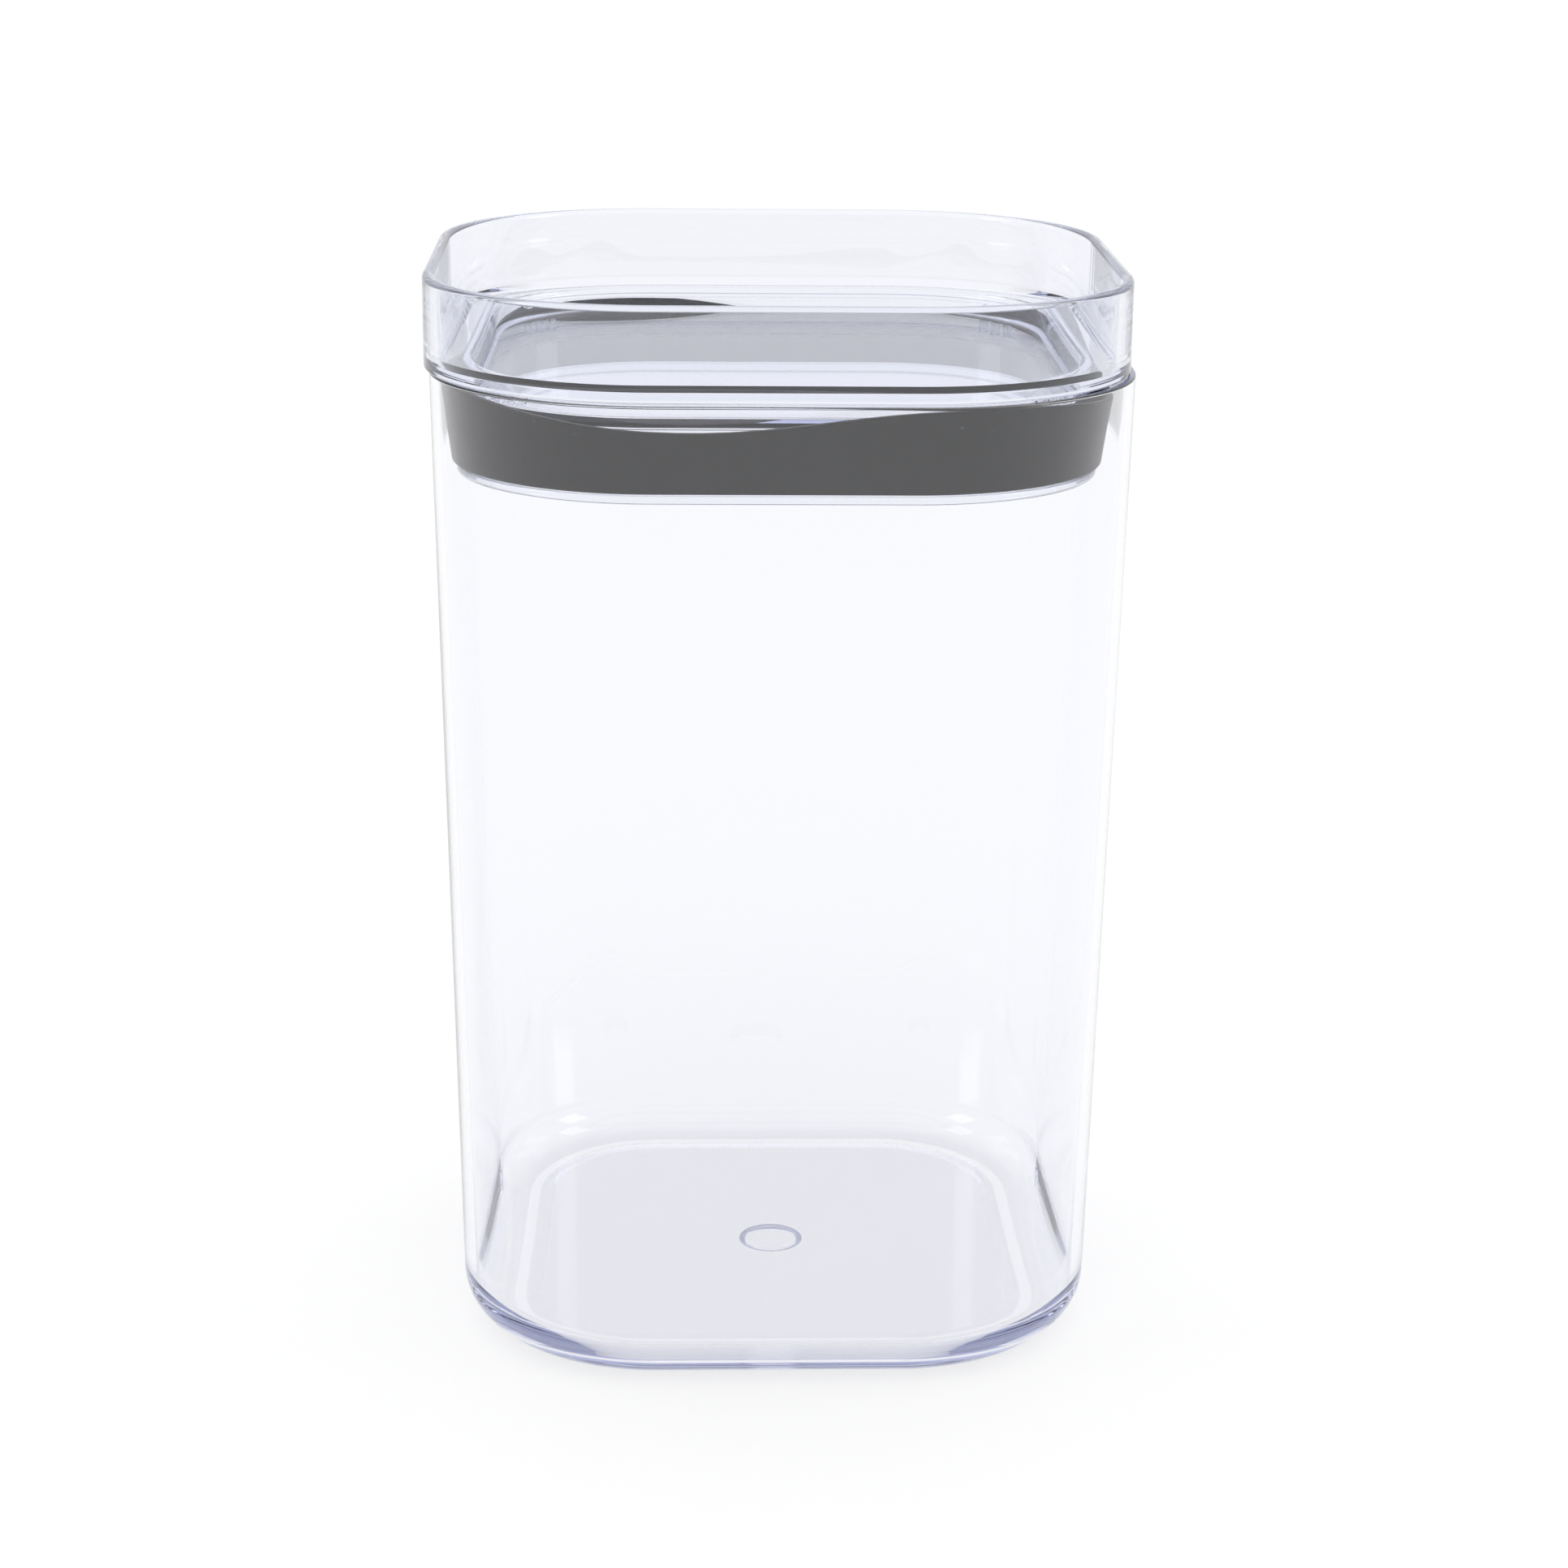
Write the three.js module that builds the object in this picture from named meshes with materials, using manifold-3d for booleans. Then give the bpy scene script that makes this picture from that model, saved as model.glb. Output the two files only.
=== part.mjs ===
// Square storage canister with a stackable lid: clear moulded plastic and a black silicone seal.
// Millimetres, +Z up. The origin is the middle of the underside, on the surface it stands on.
import * as THREE from 'three';
import { mergeVertices } from 'three/addons/utils/BufferGeometryUtils.js';
import Module from 'manifold-3d';

// ---- Driving dimensions ----
const totalHeight = 174.5; // underside to the top of the seated lid
const rimHeight = 159.7; // top of the canister's own rim
const rimHalf = 55; // half the outer width at the rim
const baseHalf = 51.9; // half the outer width at the underside, before its rounding
const straightHalf = 19.8; // half of each side's straight run: all corners turn about its ends
const rimWall = 1.3;
const baseWall = 1.8;
const gap = 0.3; // left between pieces that touch
const cornerSteps = 8; // facets in each quarter turn

// Canister underside
const baseRound = 8; // outer rounding between wall and underside
const insideRound = 6;
const baseTop = 3.4; // inside floor
const panelHalf = 41.9; // the standing ring ends here
const panelSlope = 2.6;
const panelRise = 0.5; // the middle panel is clear of the table
const gateRadius = 5.5;
const gateSink = 1.4;
const edgeRound = 0.4;

// Lid
const lidShift = -0.8; // the soft seal lets the lid sit a little to one side
const lidHalf = 55;
const lidWall = 1.8;
const flangeThickness = 1.5;
const lidTaper = 0.3; // the rim's inner face leans in by this
const rimFoot = 1.2; // chamfer between the rim's inner face and the ledge
const ledgeNose = 0.8;
const recessDepth = 17.9; // lid top to recess floor
const recessRound = 1;
const floorThickness = 1.2;
const plugHalf = 48.9; // outer face of the plug under the flange
const plugWall = 1.6;
const plugBottom = 144.2;
const beadHalf = 50.2; // the bead round the plug's foot keeps the seal on
const beadHeight = 1.4;
const ribHalfReach = 50.6; // the corner ribs stop inside the seal's lip
const ribWidth = 1.2;
const ribHeight = 2.2;
const ribPitch = 3;
const ribsPerCorner = 3;

// Seal
const sealFootHalf = 50.9; // outer face at the foot of the band
const sealLipHalf = 52.5; // outer face at the lip
const sealLipTop = 157.4; // before the lip's waves
const lipThickness = 1.2;
const lipWaves = [[4, 1.8, 28.5], [3, 0.4, 110], [1, 0.45, 30]]; // lobes, height and direction of one crest in degrees

// ---- Heights that follow ----
const flangeBottom = rimHeight + gap;
const ledgeTop = flangeBottom + flangeThickness;
const recessFloor = totalHeight - recessDepth;
const beadTop = plugBottom + beadHeight;
const sealFoot = beadTop + gap;

const { degToRad, lerp } = THREE.MathUtils;

// ---- Profile helpers: a profile runs up the outside of a piece and back down the inside ----
const square = (half, z, free = 0) => ({ half, z, free, straight: straightHalf });
const round = (half, z) => ({ half, z, free: 0, straight: 0 });

function arc(half, z, radius, from, to, steps) {
  return Array.from({ length: steps + 1 }, (_, i) => {
    const angle = degToRad(lerp(from, to, i / steps));
    return square(half + radius * Math.cos(angle), z + radius * Math.sin(angle));
  });
}

// A lathe whose rings are rounded squares: each quarter turn is a corner and then a straight side.
function squareLathe(profile, sideSteps = 1, lift = () => 0) {
  const steps = cornerSteps + sideSteps;
  const outline = profile.map(({ half, z }) => new THREE.Vector2(half, z));
  const geometry = new THREE.LatheGeometry(outline, 4 * steps);
  const position = geometry.getAttribute('position');
  const up = new THREE.Vector3(0, 0, 1);
  const point = new THREE.Vector3();
  for (let column = 0; column <= 4 * steps; column++) {
    const step = column % steps;
    const turn = Math.min(step / cornerSteps, 1) * Math.PI / 2;
    const along = Math.max(step - cornerSteps, 0) / sideSteps;
    profile.forEach(({ half, z, straight, free }, row) => {
      const radius = half - straight;
      point.set(straight * (1 - 2 * along) + radius * Math.cos(turn), straight + radius * Math.sin(turn), z);
      point.applyAxisAngle(up, Math.floor(column / steps) * Math.PI / 2);
      point.z += free * lift(Math.atan2(point.y, point.x));
      position.setXYZ(column * profile.length + row, ...point);
    });
  }
  return closed(geometry);
}

// The same shape with shared corners and without the flat slivers that a lathe leaves on its axis.
function closed(geometry) {
  geometry.deleteAttribute('normal');
  geometry.deleteAttribute('uv');
  const merged = mergeVertices(geometry, 1e-3);
  const corners = merged.getIndex().array;
  const kept = [];
  for (let i = 0; i < corners.length; i += 3) {
    const [a, b, c] = corners.slice(i, i + 3);
    if (a !== b && b !== c && c !== a) kept.push(a, b, c);
  }
  merged.setIndex(kept);
  return merged;
}

// ---- Joining solids ----
const wasm = await Module();
wasm.setup();

function toSolid(geometry) {
  return new wasm.Manifold(new wasm.Mesh({
    numProp: 3,
    vertProperties: new Float32Array(geometry.getAttribute('position').array),
    triVerts: new Uint32Array(geometry.getIndex().array),
  }));
}

function toGeometry(solid) {
  const mesh = solid.getMesh();
  const geometry = new THREE.BufferGeometry();
  geometry.setAttribute('position', new THREE.BufferAttribute(mesh.vertProperties, 3));
  geometry.setIndex(new THREE.BufferAttribute(mesh.triVerts, 1));
  return geometry;
}

// ---- Materials ----
const clearPlastic = () => new THREE.MeshStandardMaterial({
  color: 0xeceef7, roughness: 0.08, metalness: 0, transparent: true, opacity: 0.35,
});
const blackSilicone = () => new THREE.MeshStandardMaterial({ color: 0x141518, roughness: 0.4, metalness: 0 });

function piece(name, geometry, material) {
  geometry.computeVertexNormals();
  const mesh = new THREE.Mesh(geometry, material);
  mesh.name = name;
  return mesh;
}

// ---- Canister ----
function canister() {
  const outer = (z) => lerp(baseHalf, rimHalf, z / rimHeight);
  const inner = (z) => outer(z) - lerp(baseWall, rimWall, z / rimHeight);
  const gateTop = panelRise + gateSink;
  const insideStart = baseTop + insideRound;
  const rimEdge = rimHeight - edgeRound;
  return piece('canister', squareLathe([
    round(0, gateTop),
    round(gateRadius, gateTop),
    round(gateRadius, panelRise),
    square(panelHalf - panelSlope, panelRise),
    square(panelHalf, 0),
    ...arc(outer(baseRound) - baseRound, baseRound, baseRound, -90, 0, 5),
    ...arc(rimHalf - edgeRound, rimEdge, edgeRound, 0, 90, 2),
    ...arc(inner(rimHeight) + edgeRound, rimEdge, edgeRound, 90, 180, 2),
    ...arc(inner(insideStart) - insideRound, insideStart, insideRound, 0, -90, 5),
    round(0, baseTop),
  ]), clearPlastic());
}

// ---- Lid: rim, stacking ledge, recess and the open plug that goes into the canister's mouth ----
function lidTray() {
  const plugInner = plugHalf - plugWall;
  const lip = lidWall / 2;
  const rimInner = lidHalf - lidWall - lidTaper;
  const shell = squareLathe([
    round(0, recessFloor - floorThickness),
    square(plugInner, recessFloor - floorThickness),
    square(plugInner, plugBottom),
    ...arc(beadHalf - edgeRound, plugBottom + edgeRound, edgeRound, -90, 0, 2),
    square(beadHalf, beadTop),
    square(plugHalf, beadTop),
    square(plugHalf, flangeBottom),
    ...arc(lidHalf - edgeRound, flangeBottom + edgeRound, edgeRound, -90, 0, 2),
    ...arc(lidHalf - lip, totalHeight - lip, lip, 0, 180, 6),
    square(rimInner, ledgeTop + rimFoot),
    square(rimInner - rimFoot, ledgeTop),
    ...arc(plugInner + ledgeNose, ledgeTop - ledgeNose, ledgeNose, 90, 180, 3),
    ...arc(plugInner - recessRound, recessFloor + recessRound, recessRound, 0, -90, 3),
    round(0, recessFloor),
  ]);
  const solid = cornerRibs().map(toSolid).reduce((sum, rib) => sum.add(rib), toSolid(shell));
  return piece('lid_tray', toGeometry(solid), clearPlastic());
}

// Small ribs under the flange, side by side across each corner's diagonal
function cornerRibs() {
  const depth = ribHalfReach - plugHalf + plugWall / 2;
  const ribs = [];
  for (let corner = 0; corner < 4; corner++) {
    for (let i = 0; i < ribsPerCorner; i++) {
      const rib = new THREE.BoxGeometry(depth, ribWidth, ribHeight + flangeThickness / 2);
      const middle = straightHalf * Math.SQRT2 + ribHalfReach - straightHalf - depth / 2;
      const side = (i - (ribsPerCorner - 1) / 2) * ribPitch;
      rib.translate(middle, side, flangeBottom + (flangeThickness / 2 - ribHeight) / 2);
      rib.rotateZ(degToRad(45 + 90 * corner));
      ribs.push(closed(rib));
    }
  }
  return ribs;
}

// ---- Seal: a band round the plug, its lip flaring up against the canister's wall ----
function sealBand() {
  const inner = plugHalf + gap;
  const lipInner = sealLipHalf - lipThickness;
  const wave = (angle) => lipWaves.reduce(
    (sum, [lobes, height, crest]) => sum + height * Math.cos(lobes * (angle - degToRad(crest))), 0);
  return piece('seal_band', squareLathe([
    square(inner, sealFoot),
    square(sealFootHalf - edgeRound, sealFoot),
    square(sealFootHalf, sealFoot + edgeRound),
    square(lerp(sealFootHalf, sealLipHalf, 0.3), sealFoot + 4),
    square(lerp(sealFootHalf, sealLipHalf, 0.7), sealFoot + 8, 0.4),
    square(sealLipHalf, sealLipTop - edgeRound, 1),
    square(sealLipHalf - edgeRound, sealLipTop, 1),
    square(lipInner, sealLipTop - edgeRound, 1),
    square(lipInner - 0.7, sealFoot + 8.4, 0.4),
    square(inner, sealFoot + 6.6),
    square(inner, sealFoot),
  ], 4, wave), blackSilicone());
}

const lid = new THREE.Group();
lid.position.x = lidShift;
lid.add(lidTray(), sealBand());

const assembly = new THREE.Group();
assembly.add(canister(), lid);

export default assembly;
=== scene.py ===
"""Lidded canister: clear moulded plastic body and lid with a black silicone seal.

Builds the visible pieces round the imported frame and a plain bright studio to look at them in.
All sizes are in metres, +Z is up, and the canister's front faces -Y.
"""
import math

import bmesh
import bpy
from bpy.props import FloatProperty, FloatVectorProperty, PointerProperty
from mathutils import Matrix, Vector


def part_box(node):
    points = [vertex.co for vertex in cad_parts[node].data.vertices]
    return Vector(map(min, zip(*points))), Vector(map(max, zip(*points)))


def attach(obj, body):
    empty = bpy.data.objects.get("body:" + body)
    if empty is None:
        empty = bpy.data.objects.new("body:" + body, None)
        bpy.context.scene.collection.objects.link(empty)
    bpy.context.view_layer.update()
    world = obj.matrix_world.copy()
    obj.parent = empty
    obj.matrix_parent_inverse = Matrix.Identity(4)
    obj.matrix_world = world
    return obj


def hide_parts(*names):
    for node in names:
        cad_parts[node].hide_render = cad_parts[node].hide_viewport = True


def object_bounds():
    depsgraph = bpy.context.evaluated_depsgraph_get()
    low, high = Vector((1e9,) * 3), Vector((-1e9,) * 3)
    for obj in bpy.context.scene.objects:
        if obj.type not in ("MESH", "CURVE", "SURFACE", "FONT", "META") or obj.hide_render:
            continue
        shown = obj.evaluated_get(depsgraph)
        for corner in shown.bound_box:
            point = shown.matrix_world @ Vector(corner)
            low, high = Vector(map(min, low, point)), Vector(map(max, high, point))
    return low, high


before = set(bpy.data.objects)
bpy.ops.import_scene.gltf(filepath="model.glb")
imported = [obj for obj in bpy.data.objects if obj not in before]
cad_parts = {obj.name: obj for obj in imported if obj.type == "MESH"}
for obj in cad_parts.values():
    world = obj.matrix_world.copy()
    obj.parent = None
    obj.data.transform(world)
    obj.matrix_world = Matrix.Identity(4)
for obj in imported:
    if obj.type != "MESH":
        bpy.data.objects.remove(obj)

bl_info = {
    "name": "Lidded canister",
    "version": (1, 0, 0),
    "blender": (4, 5, 0),
    "location": "View3D > Sidebar > Canister",
    "description": "Makes a clear square canister with a stacking lid and a black seal",
    "category": "Add Mesh",
}

CAD_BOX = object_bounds()
MM = 0.001
GAP = 0.3 * MM
SMALL_EDGE = 0.4 * MM
CORNER_STEPS = 40
ROUND_STEPS = 8
SHARP_ANGLE = math.radians(20)
GATE_STEPS = 64
LIP_STEPS = 10
MERGE = 1e-6
RIB_CLEAR = 0.04 * MM
RIB_EDGE = 0.15 * MM
RECESS_OVERLAP = 1 * MM
# The lip's edge: how many waves run round it, and where each of them starts.
LIP_WAVES = ((4, math.radians(28.5)), (3, math.radians(110)), (1, math.radians(30)))

PLASTIC_IOR = 1.57
SILICONE_IOR = 1.41
DEPTH_DENSITY = 9
SHADOW_TINT = (0.94, 0.945, 0.98)
SKIN_RELIEF = 0.1 * MM
WHITE = (1.0, 1.0, 1.0)
FLOOR_HALF = 30
FLOOR_GLOW = 0.6
SENSOR_WIDTH = 36
CLEAR_BOUNCES = 48
MIRROR_BOUNCES = 40
SOFTBOX_SIDE, SOFTBOX_FRONT, SOFTBOX_HEIGHT = 0.9, 0.3, 0.6
SOFTBOX_WIDTH, SOFTBOX_TALL, SOFTBOX_POWER = 0.3, 0.5, 1

BODY_LOW, BODY_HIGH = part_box("canister")
LID_LOW, LID_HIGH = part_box("lid_tray")
SEAL_LOW, SEAL_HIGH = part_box("seal_band")
LID_MIDDLE = (LID_LOW.x + LID_HIGH.x) / 2


# ---- Sizes and colours ----
def length(name, description, default_mm):
    """A length property whose default is written in millimetres."""
    return FloatProperty(name=name, description=description, default=default_mm * MM, min=0, unit="LENGTH",
                         precision=5)


def colour(name, description, default):
    return FloatVectorProperty(name=name, description=description, default=default, size=3, min=0, max=1,
                               subtype="COLOR")


class CanisterBodySizes(bpy.types.PropertyGroup):
    straight: length("Straight half", "Half of each side's straight run, between the corners", 19.8)
    base_half: length("Base half width", "Half the width where the walls would meet the table", 51.9)
    rim_wall: length("Rim wall", "Wall thickness at the rim", 1.3)
    base_wall: length("Base wall", "Wall thickness at the base", 1.8)
    base_round: length("Base rounding", "Outer rounding between wall and underside", 8)
    inside_round: length("Inside rounding", "Rounding between the wall and the inside floor", 6)
    floor_top: length("Inside floor", "Height of the inside floor", 3.4)
    panel_half: length("Standing ring", "Half width at which the standing ring ends", 41.9)
    panel_slope: length("Panel slope", "Width of the step up to the middle panel", 2.6)
    panel_rise: length("Panel rise", "How far the middle panel is clear of the table", 0.5)
    gate_radius: length("Gate radius", "Radius of the sunken gate mark", 5.5)
    gate_sink: length("Gate sink", "Depth of the gate mark", 1.4)


class LidSizes(bpy.types.PropertyGroup):
    wall: length("Rim wall", "Thickness of the standing rim", 1.8)
    taper: length("Rim taper", "How far the rim's inner face leans in towards its foot", 0.3)
    flange_thickness: length("Flange thickness", "Thickness of the stacking ledge", 1.5)
    foot: length("Rim foot", "Chamfer between the rim and the ledge", 1.2)
    nose: length("Ledge nose", "Rounding where the ledge turns down into the recess", 0.8)
    recess_depth: length("Recess depth", "From the top of the rim to the recess floor", 17.9)
    floor_thickness: length("Floor thickness", "Thickness of the recess floor", 1.2)
    recess_round: length("Recess rounding", "Rounding round the recess floor", 1)
    plug_half: length("Plug half width", "Outer face of the plug under the flange", 48.9)
    plug_wall: length("Plug wall", "Wall thickness of the plug", 1.6)
    bead_half: length("Bead half width", "Outer face of the bead that keeps the seal on", 50.2)
    bead_height: length("Bead height", "Height of the bead round the plug's foot", 1.4)
    rib_reach: length("Rib reach", "Half width at which the corner ribs end", 50.6)
    rib_width: length("Rib width", "Width of one corner rib", 1.2)
    rib_height: length("Rib height", "How far the corner ribs hang under the flange", 2.2)
    rib_pitch: length("Rib pitch", "Distance between the ribs of a corner", 3)


class SealSizes(bpy.types.PropertyGroup):
    foot_half: length("Foot half width", "Outer face of the band at its foot", 50.9)
    lip_half: length("Lip half width", "Outer face of the band at its lip", 52.5)
    lip_top: length("Lip height", "Height of the lip before its waves", 157.4)
    lip_thickness: length("Lip thickness", "Thickness of the flaring lip", 1.2)
    wave_height: length("Wave height", "Height of the lip's four waves", 1.8)
    swell_height: length("Swell height", "Height of three slower waves", 0.4)
    tilt_height: length("Tilt height", "How far the band rides up on one side", 0.45)


class CanisterColours(bpy.types.PropertyGroup):
    clear: colour("Clear plastic", "What one wall of the body lets through", (0.968, 0.970, 0.984))
    clear_lid: colour("Clear lid plastic", "What one wall of the lid lets through", (0.915, 0.925, 0.965))
    depth: colour("Depth tint", "What the plastic lets through where light runs along inside it",
                  (0.38, 0.45, 0.82))
    silicone: colour("Silicone", "The seal's own colour", (0.008, 0.008, 0.010))
    dust: colour("Dust", "Fine dust on the seal", (0.10, 0.11, 0.12))
    paper: colour("Floor", "The plain pale floor", (0.41, 0.41, 0.41))


# ---- Shader arithmetic ----
class Wire:
    """A node's output that can stand in a Python sum."""

    def __init__(self, tree, socket):
        self.tree = tree
        self.socket = socket

    def maths(self, operation, first, second=0.0):
        return add_node(self.tree, "ShaderNodeMath", {"operation": operation}, {0: first, 1: second})

    def __add__(self, other):
        return self.maths("ADD", self, other)

    def __radd__(self, other):
        return self.maths("ADD", other, self)

    def __mul__(self, other):
        return self.maths("MULTIPLY", self, other)

    def __rmul__(self, other):
        return self.maths("MULTIPLY", other, self)

    def __gt__(self, other):
        return self.maths("GREATER_THAN", self, other)


def add_node(tree, kind, settings=None, sockets=None, out=0):
    """Adds a node: its settings first, then the values or wires of its sockets. Returns an output, if any."""
    node = tree.nodes.new(kind)
    for name, value in (settings or {}).items():
        setattr(node, name, value)
    for name, value in (sockets or {}).items():
        if isinstance(value, Wire):
            tree.links.new(value.socket, node.inputs[name])
        else:
            node.inputs[name].default_value = value
    return Wire(tree, node.outputs[out]) if node.outputs else None


def new_tree(owner):
    """An owner's empty node tree."""
    owner.use_nodes = True
    owner.node_tree.nodes.clear()
    return owner.node_tree


def rgba(colour_value):
    return (*colour_value, 1.0)


def noise(tree, scale, detail=2.0, roughness=0.5):
    place = add_node(tree, "ShaderNodeTexCoord", out="Object")
    return add_node(tree, "ShaderNodeTexNoise", {"noise_dimensions": "3D"},
                    {"Vector": place, "Scale": scale, "Detail": detail, "Roughness": roughness})


# ---- Materials ----
def clear_plastic(name, tint, depth_tint):
    """Polished clear moulding: faintly cool, with slow waves in its skin."""
    material = bpy.data.materials.new(name)
    tree = new_tree(material)
    waves = noise(tree, scale=22, detail=1)
    skin = add_node(tree, "ShaderNodeBump", sockets={
        "Strength": 0.1, "Distance": SKIN_RELIEF, "Height": waves}, out="Normal")
    surface = add_node(tree, "ShaderNodeBsdfPrincipled", sockets={
        "Base Color": rgba(tint), "Roughness": 0.0, "IOR": PLASTIC_IOR,
        "Transmission Weight": 1.0, "Normal": skin,
    })
    lamp_path = add_node(tree, "ShaderNodeLightPath", out="Is Shadow Ray")
    see_through = add_node(tree, "ShaderNodeBsdfTransparent", sockets={"Color": rgba(SHADOW_TINT)})
    clear = add_node(tree, "ShaderNodeMixShader", sockets={0: lamp_path, 1: surface, 2: see_through})
    depth = add_node(tree, "ShaderNodeVolumeAbsorption", sockets={
        "Color": rgba(depth_tint), "Density": DEPTH_DENSITY})
    add_node(tree, "ShaderNodeOutputMaterial", sockets={"Surface": clear, "Volume": depth})
    return material


def black_silicone(name, colours):
    """Satin silicone with a soft moulded skin and a little fine dust."""
    material = bpy.data.materials.new(name)
    tree = new_tree(material)
    dust = noise(tree, scale=900, detail=4, roughness=0.7) > 0.66
    patches = noise(tree, scale=60, detail=2) > 0.56
    specks = dust * patches * 0.8
    tone = add_node(tree, "ShaderNodeMix", {"data_type": "RGBA"}, {
        "Factor": specks, 6: rgba(colours.silicone), 7: rgba(colours.dust)}, out=2)
    grain = noise(tree, scale=1500, detail=2)
    skin = add_node(tree, "ShaderNodeBump", sockets={
        "Strength": 0.08, "Distance": SKIN_RELIEF, "Height": grain}, out="Normal")
    surface = add_node(tree, "ShaderNodeBsdfPrincipled", sockets={
        "Base Color": tone, "Roughness": 0.30 + 0.12 * noise(tree, scale=120), "IOR": SILICONE_IOR,
        "Specular IOR Level": 0.2, "Normal": skin,
    })
    add_node(tree, "ShaderNodeOutputMaterial", sockets={"Surface": surface})
    return material


# ---- Shapes ----
def edges_of(geometry):
    return [part for part in geometry if isinstance(part, bmesh.types.BMEdge)]


def verts_of(geometry):
    return [part for part in geometry if isinstance(part, bmesh.types.BMVert)]


def rounded_square(straight, corners, closed=False, side_steps=1):
    """Sweeps an outline of (half width, height, rounding) corners round a square with turned corners."""
    bm = bmesh.new()
    outline = [bm.verts.new((half, straight, height)) for half, height, _ in corners]
    for start, end in zip(outline, outline[1:]):
        bm.edges.new((start, end))
    if closed:
        bm.edges.new((outline[-1], outline[0]))
    for vert, (_, _, rounding) in zip(outline, corners):
        if rounding:
            bmesh.ops.bevel(bm, geom=[vert], offset=rounding, offset_type="OFFSET", segments=ROUND_STEPS,
                            profile=0.5, affect="VERTICES", material=-1)
    turned = bmesh.ops.spin(bm, geom=bm.verts[:] + bm.edges[:], cent=(straight, straight, 0), axis=(0, 0, 1),
                            angle=math.pi / 2, steps=CORNER_STEPS)
    front = turned["geom_last"]
    for _ in range(side_steps):
        front = bmesh.ops.extrude_edge_only(bm, edges=edges_of(front))["geom"]
        bmesh.ops.translate(bm, verts=verts_of(front), vec=(-2 * straight / side_steps, 0, 0))
    bmesh.ops.spin(bm, geom=bm.faces[:], cent=(0, 0, 0), axis=(0, 0, 1), angle=math.pi * 1.5, steps=3,
                   use_duplicate=True)
    bmesh.ops.remove_doubles(bm, verts=bm.verts, dist=MERGE)
    return bm


def open_loop(bm, height):
    """The open edges that lie at a height."""
    return [edge for edge in bm.edges
            if edge.is_boundary and all(abs(vert.co.z - height) < MERGE for vert in edge.verts)]


def fill_loop(bm, height):
    return bmesh.ops.edgeloop_fill(bm, edges=open_loop(bm, height))["faces"]


def fill_with_gate(bm, height, radius, sink):
    """Closes the loop at a height with a flat panel that has a round sunken mark in its middle."""
    rim = open_loop(bm, height)
    circle = bmesh.ops.create_circle(bm, radius=radius, segments=GATE_STEPS,
                                     matrix=Matrix.Translation((0, 0, height)))
    mark = list({edge for vert in circle["verts"] for edge in vert.link_edges})
    bmesh.ops.triangle_fill(bm, use_beauty=True, edges=rim + mark)
    for step in range(1, ROUND_STEPS + 1):
        turn = math.pi / 2 * step / ROUND_STEPS
        mark = edges_of(bmesh.ops.extrude_edge_only(bm, edges=mark)["geom"])
        ring = list({vert for edge in mark for vert in edge.verts})
        now = ring[0].co.to_2d().length
        to = radius - sink * (1 - math.cos(turn))
        bmesh.ops.scale(bm, verts=ring, vec=(to / now, to / now, 1))
        bmesh.ops.translate(bm, verts=ring, vec=(0, 0, height + sink * math.sin(turn) - ring[0].co.z))
    bmesh.ops.edgeloop_fill(bm, edges=mark)


def add_corner_ribs(bm, size, straight, flange):
    """Small ribs under the flange, three across each corner's diagonal."""
    start = size.plug_half + RIB_CLEAR
    depth = size.rib_reach - start
    middle = straight * math.sqrt(2) + start - straight + depth / 2
    low = flange - RIB_CLEAR - size.rib_height / 2
    for corner in range(4):
        for side in (-1, 0, 1):
            place = (Matrix.Rotation(math.radians(45 + 90 * corner), 4, "Z")
                     @ Matrix.Translation((middle, side * size.rib_pitch, low))
                     @ Matrix.Diagonal((depth, size.rib_width, size.rib_height, 1)))
            rib = bmesh.ops.create_cube(bm, size=1, matrix=place)["verts"]
            edges = list({edge for vert in rib for edge in vert.link_edges})
            bmesh.ops.bevel(bm, geom=edges, offset=RIB_EDGE, segments=2, profile=0.5,
                            affect="EDGES", material=-1)


def finish_piece(bm, name, body, node, material, shift_x=0.0):
    """Turns a closed shape into an object that stands for a CAD node and moves with its body."""
    bmesh.ops.translate(bm, verts=bm.verts, vec=(shift_x, 0, 0))
    bmesh.ops.remove_doubles(bm, verts=bm.verts, dist=MERGE)
    bmesh.ops.recalc_face_normals(bm, faces=bm.faces)
    open_edges = [edge for edge in bm.edges if not edge.is_manifold]
    if open_edges:
        raise RuntimeError(f"{name} has {len(open_edges)} open edges")
    for face in bm.faces:
        face.smooth = True
    for edge in bm.edges:
        # The panel's triangles meet the quads round it at a crease too shallow for the angle to find.
        flat_border = {len(face.verts) for face in edge.link_faces} == {3, 4}
        edge.smooth = edge.calc_face_angle() < SHARP_ANGLE and not flat_border
    mesh = bpy.data.meshes.new(name)
    bm.to_mesh(mesh)
    bm.free()
    mesh.materials.append(material)
    piece = bpy.data.objects.new(name, mesh)
    bpy.context.scene.collection.objects.link(piece)
    weights = piece.modifiers.new("Even shading", "WEIGHTED_NORMAL")
    weights.keep_sharp = True
    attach(piece, body)
    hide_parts(node)


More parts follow.
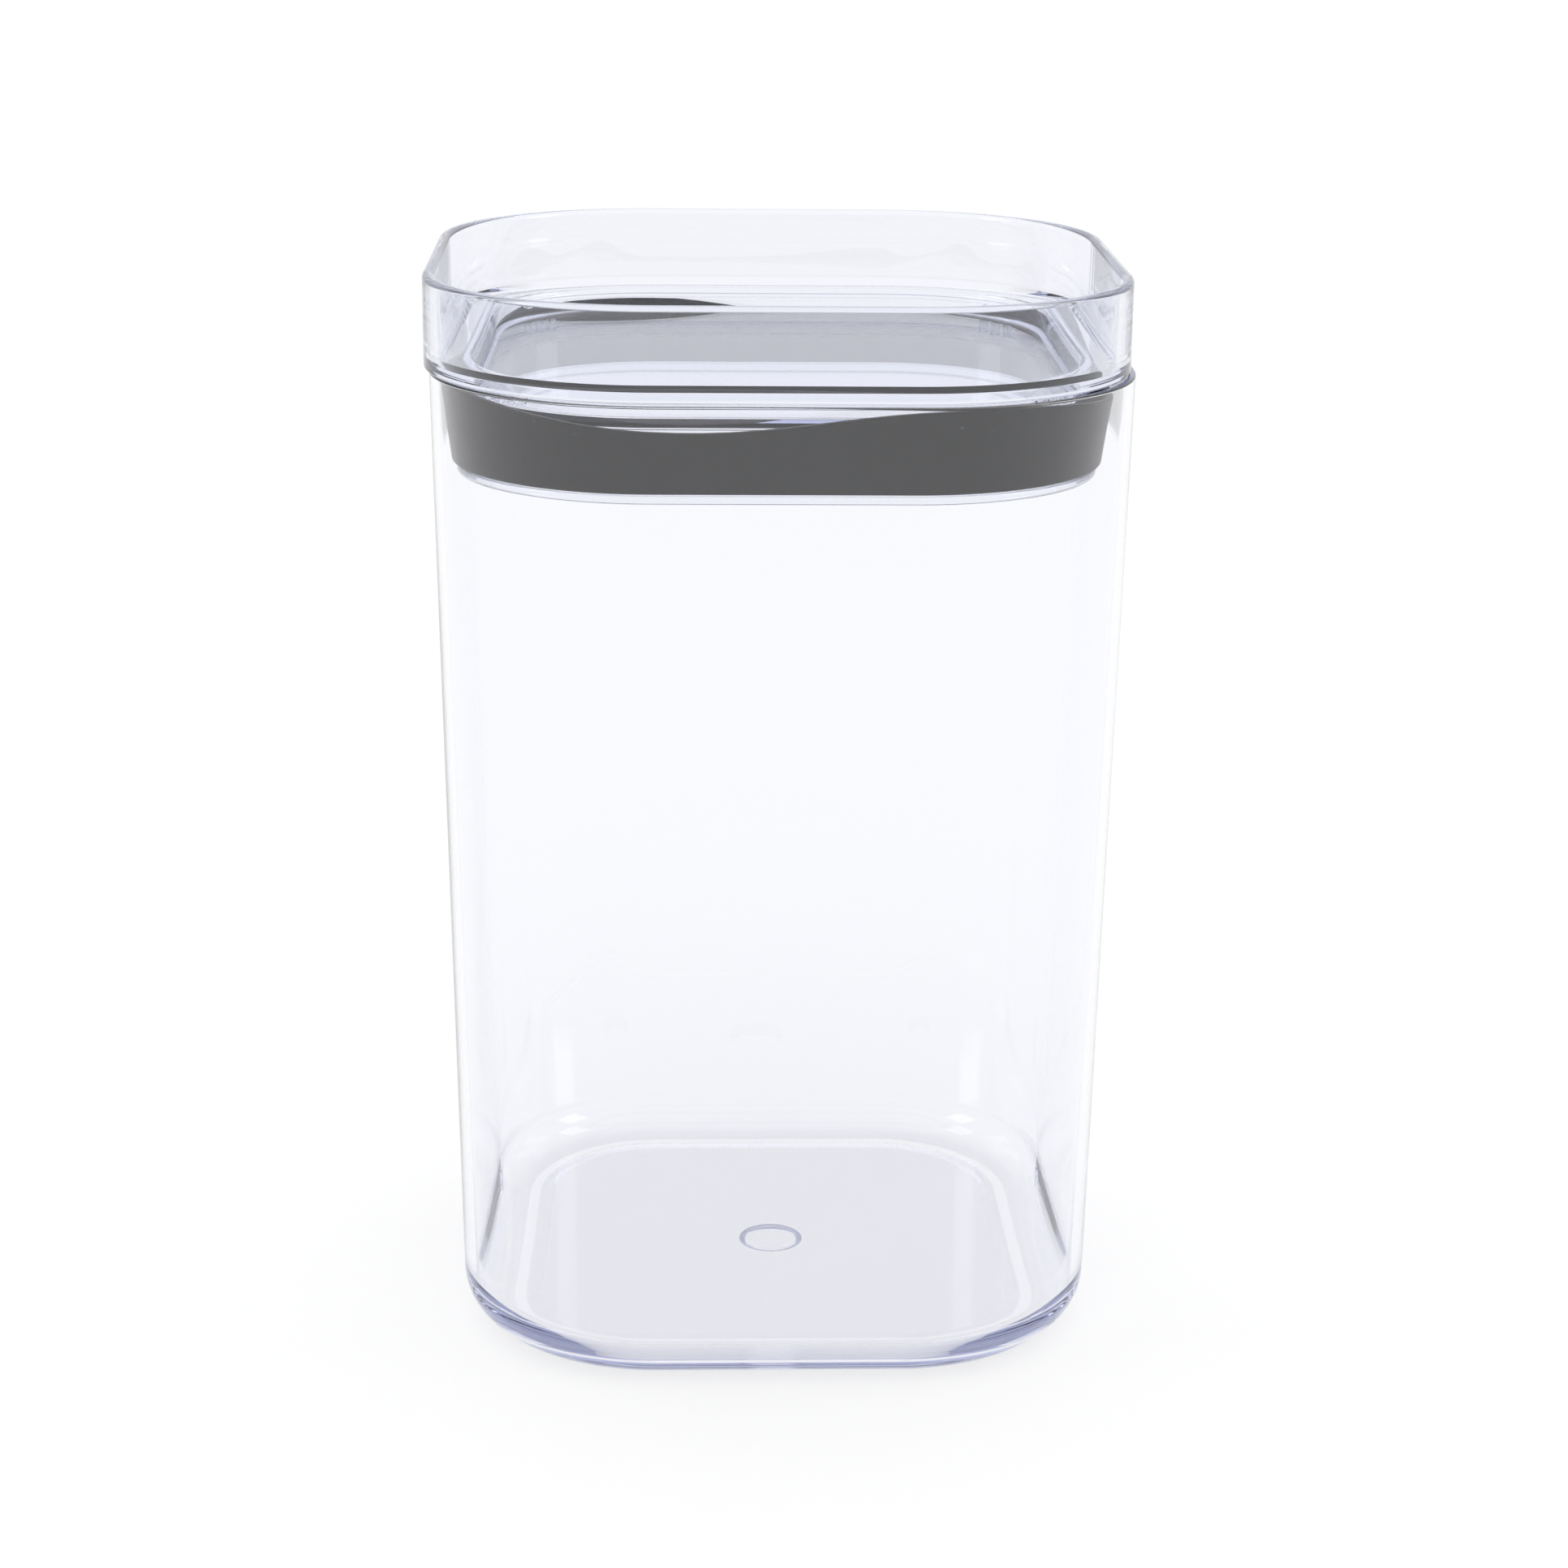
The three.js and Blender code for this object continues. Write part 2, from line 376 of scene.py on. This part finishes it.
# ---- Pieces ----
class CANISTER_OT_body(bpy.types.Operator):
    """Makes the clear body with its rounded foot, raised panel and gate mark"""
    bl_idname = "canister.body"
    bl_label = "Canister body"

    def execute(self, context):
        size = context.scene.canister_body
        height = BODY_HIGH.z
        rim_half = BODY_HIGH.x
        slope = (rim_half - size.base_half) / height
        thinning = (size.base_wall - size.rim_wall) / height
        inner_foot = size.base_half - size.base_wall + (slope + thinning) * size.floor_top
        bm = rounded_square(size.straight, [
            (size.panel_half - size.panel_slope, size.panel_rise, 0),
            (size.panel_half, 0, 0),
            (size.base_half, 0, size.base_round),
            (rim_half, height, SMALL_EDGE),
            (rim_half - size.rim_wall, height, SMALL_EDGE),
            (inner_foot, size.floor_top, size.inside_round),
            (size.panel_half - size.panel_slope, size.floor_top, 0),
        ])
        fill_with_gate(bm, size.panel_rise, size.gate_radius, size.gate_sink)
        fill_loop(bm, size.floor_top)
        finish_piece(bm, "canister_body", "canister", "canister",
                     clear_plastic("clear_body_plastic", context.scene.canister_colours.clear,
                                   context.scene.canister_colours.depth))
        return {"FINISHED"}


class CANISTER_OT_lid(bpy.types.Operator):
    """Makes the lid: standing rim, stacking ledge, recess and plug"""
    bl_idname = "canister.lid"
    bl_label = "Lid tray"

    def execute(self, context):
        size = context.scene.canister_lid
        straight = context.scene.canister_body.straight
        half = (LID_HIGH.x - LID_LOW.x) / 2
        top = LID_HIGH.z
        flange = BODY_HIGH.z + GAP
        ledge = flange + size.flange_thickness
        recess_floor = top - size.recess_depth
        underside = recess_floor - size.floor_thickness
        plug_inner = size.plug_half - size.plug_wall
        rim_inner = half - size.wall
        lip = size.wall / 2 - MERGE
        middle = straight + RECESS_OVERLAP
        bm = rounded_square(straight, [
            (middle, underside, 0),
            (plug_inner, underside, SMALL_EDGE),
            (plug_inner, LID_LOW.z, 0),
            (size.bead_half, LID_LOW.z, SMALL_EDGE),
            (size.bead_half, LID_LOW.z + size.bead_height, SMALL_EDGE),
            (size.plug_half, LID_LOW.z + size.bead_height, 0),
            (size.plug_half, flange, SMALL_EDGE),
            (half, flange, SMALL_EDGE),
            (half, top, lip),
            (rim_inner, top, lip),
            (rim_inner - size.taper, ledge + size.foot, 0),
            (rim_inner - size.taper - size.foot, ledge, 0),
            (plug_inner, ledge, size.nose),
            (plug_inner, recess_floor, size.recess_round),
            (middle, recess_floor, 0),
        ])
        fill_loop(bm, underside)
        fill_loop(bm, recess_floor)
        add_corner_ribs(bm, size, straight, flange)
        finish_piece(bm, "lid_rim_and_recess", "lid", "lid_tray",
                     clear_plastic("clear_lid_plastic", context.scene.canister_colours.clear_lid,
                                   context.scene.canister_colours.depth), LID_MIDDLE)
        return {"FINISHED"}


class CANISTER_OT_seal(bpy.types.Operator):
    """Makes the silicone band with its flaring, wavy lip"""
    bl_idname = "canister.seal"
    bl_label = "Seal band"

    def execute(self, context):
        size = context.scene.canister_seal
        lid = context.scene.canister_lid
        straight = context.scene.canister_body.straight
        foot = SEAL_LOW.z
        inner = lid.plug_half + GAP
        top = size.lip_top
        lip_inner = size.lip_half - size.lip_thickness
        bm = rounded_square(straight, [
            (inner, foot, 0),
            (size.foot_half, foot, SMALL_EDGE),
            ((size.foot_half + size.lip_half) / 2, foot + 6 * MM, 2 * MM),
            (size.lip_half, top, SMALL_EDGE * 0.9),
            (lip_inner, top, SMALL_EDGE * 0.9),
            (lip_inner - 0.7 * MM, foot + 8.4 * MM, 0.5 * MM),
            (inner, foot + 6.6 * MM, 0.3 * MM),
        ], closed=True, side_steps=LIP_STEPS)
        free_from = foot + 5 * MM
        heights = (size.wave_height, size.swell_height, size.tilt_height)
        for vert in bm.verts:
            free = max(vert.co.z - free_from, 0) / (top - free_from)
            angle = math.atan2(vert.co.y, vert.co.x)
            rise = sum(height * math.cos(count * (angle - start))
                       for height, (count, start) in zip(heights, LIP_WAVES))
            vert.co.z += rise * free
        finish_piece(bm, "seal_lip_band", "lid", "seal_band",
                     black_silicone("black_silicone", context.scene.canister_colours), LID_MIDDLE)
        return {"FINISHED"}


# ---- Studio ----
class CanisterStage(bpy.types.PropertyGroup):
    camera_place: FloatVectorProperty(name="Camera place", description="Where the camera stands", size=3,
                                      default=(-0.0173, -0.5401, 0.2512), unit="LENGTH", precision=5)
    heading: FloatProperty(name="Heading", description="How far the camera is turned to the right",
                           default=math.radians(2.0), unit="ROTATION")
    tilt: FloatProperty(name="Tilt", description="How far the camera looks down", default=math.radians(17.05),
                        unit="ROTATION")
    roll: FloatProperty(name="Roll", description="How far the camera leans", default=math.radians(0.61),
                        unit="ROTATION")
    lens: FloatProperty(name="Lens", description="Focal length on a 36 mm wide sensor", default=77.23,
                        unit="CAMERA")


def paper_floor(colours):
    """Plain matt pale paper, a little self-lit so that it stays even out to the horizon."""
    material = bpy.data.materials.new("pale_floor")
    tree = new_tree(material)
    paper = add_node(tree, "ShaderNodeBsdfDiffuse", sockets={"Color": rgba(colours.paper)})
    glow = add_node(tree, "ShaderNodeEmission", sockets={"Color": rgba(WHITE), "Strength": FLOOR_GLOW})
    surface = add_node(tree, "ShaderNodeAddShader", sockets={0: paper, 1: glow})
    add_node(tree, "ShaderNodeOutputMaterial", sockets={"Surface": surface})
    return material


def studio_world():
    """Even white light all round."""
    world = bpy.data.worlds.new("studio")
    tree = new_tree(world)
    light = add_node(tree, "ShaderNodeBackground", sockets={"Color": rgba(WHITE)})
    add_node(tree, "ShaderNodeOutputWorld", sockets={"Surface": light})
    bpy.context.scene.world = world


def softbox(name, side, aim):
    """A soft lamp in front of one side of the canister, -1 or 1."""
    place = (side * SOFTBOX_SIDE, -SOFTBOX_FRONT, SOFTBOX_HEIGHT)
    lamp = bpy.data.lights.new(name, "AREA")
    lamp.shape = "RECTANGLE"
    lamp.size = SOFTBOX_WIDTH
    lamp.size_y = SOFTBOX_TALL
    lamp.energy = SOFTBOX_POWER
    box = bpy.data.objects.new(name, lamp)
    bpy.context.scene.collection.objects.link(box)
    box.location = place
    box.rotation_euler = (Vector(aim) - Vector(place)).to_track_quat("-Z", "Y").to_euler()
    box.visible_camera = False


class CANISTER_OT_stage(bpy.types.Operator):
    """Makes the pale floor, the studio light and the camera"""
    bl_idname = "canister.stage"
    bl_label = "Studio"

    def execute(self, context):
        scene = context.scene
        stage = scene.canister_stage
        bm = bmesh.new()
        bmesh.ops.create_grid(bm, x_segments=1, y_segments=1, size=FLOOR_HALF)
        mesh = bpy.data.meshes.new("floor")
        bm.to_mesh(mesh)
        bm.free()
        mesh.materials.append(paper_floor(scene.canister_colours))
        floor = bpy.data.objects.new("floor", mesh)
        scene.collection.objects.link(floor)
        studio_world()
        aim = (0, 0, CAD_BOX[1].z / 2)
        softbox("softbox_left", -1, aim)
        softbox("softbox_right", 1, aim)

        lens = bpy.data.cameras.new("camera")
        lens.lens = stage.lens
        lens.sensor_width = SENSOR_WIDTH
        camera = bpy.data.objects.new("camera", lens)
        scene.collection.objects.link(camera)
        turn = (Matrix.Rotation(-stage.heading, 4, "Z")
                @ Matrix.Rotation(math.pi / 2 - stage.tilt, 4, "X")
                @ Matrix.Rotation(stage.roll, 4, "Z"))
        camera.matrix_world = Matrix.Translation(stage.camera_place) @ turn
        scene.camera = camera
        scene.view_settings.view_transform = "Standard"
        scene.cycles.max_bounces = CLEAR_BOUNCES
        scene.cycles.transmission_bounces = CLEAR_BOUNCES
        scene.cycles.glossy_bounces = MIRROR_BOUNCES
        scene.cycles.use_denoising = True
        return {"FINISHED"}


class VIEW3D_PT_canister(bpy.types.Panel):
    """Lists the canister's pieces and the studio"""
    bl_idname = "VIEW3D_PT_canister"
    bl_label = "Canister"
    bl_space_type = "VIEW_3D"
    bl_region_type = "UI"
    bl_category = "Canister"

    def draw(self, context):
        for operator in PIECES:
            self.layout.operator(operator.bl_idname)


SETTINGS = {
    "canister_body": CanisterBodySizes,
    "canister_lid": LidSizes,
    "canister_seal": SealSizes,
    "canister_colours": CanisterColours,
    "canister_stage": CanisterStage,
}
PIECES = (CANISTER_OT_stage, CANISTER_OT_body, CANISTER_OT_lid, CANISTER_OT_seal)


def register():
    for settings in SETTINGS.values():
        bpy.utils.register_class(settings)
    for name, settings in SETTINGS.items():
        setattr(bpy.types.Scene, name, PointerProperty(type=settings))
    for operator in PIECES:
        bpy.utils.register_class(operator)
    bpy.utils.register_class(VIEW3D_PT_canister)


def unregister():
    bpy.utils.unregister_class(VIEW3D_PT_canister)
    for operator in reversed(PIECES):
        bpy.utils.unregister_class(operator)
    for name, settings in reversed(SETTINGS.items()):
        delattr(bpy.types.Scene, name)
        bpy.utils.unregister_class(settings)


def main():
    register()
    bpy.ops.canister.stage()
    bpy.ops.canister.body()
    bpy.ops.canister.lid()
    bpy.ops.canister.seal()


if __name__ == "__main__":
    main()
